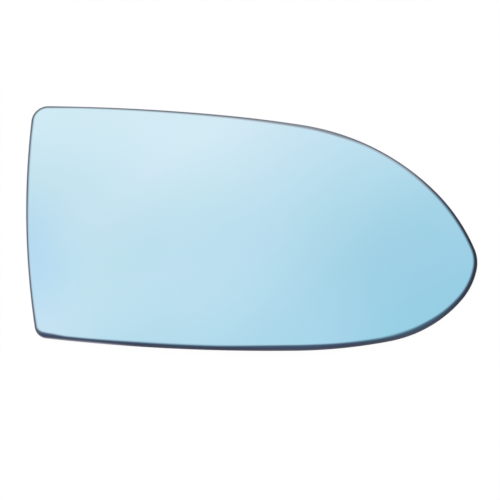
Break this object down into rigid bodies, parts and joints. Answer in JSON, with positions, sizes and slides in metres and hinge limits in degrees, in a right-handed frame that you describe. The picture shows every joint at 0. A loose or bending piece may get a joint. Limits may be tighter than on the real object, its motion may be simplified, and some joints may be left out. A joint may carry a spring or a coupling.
{
  "type": "car door mirror glass",
  "caption": "Bent, blue-tinted door mirror glass in a long drop shape, with a rounded ground edge and a hollow painted back.",
  "frame": {"origin": "middle of the outline's width and height, level with the three places of the rim that the glass rests on", "axes": "+X towards the tip, +Y upwards as the glass stands in the car, +Z out of the reflecting side"},
  "size_m": [0.1814, 0.1094, 0.0063],
  "materials": {
    "tinted_mirror": "polished"
  },
  "bodies": {
    "root": {"mirror_glass": "tinted_mirror"}
  },
  "joints": []
}
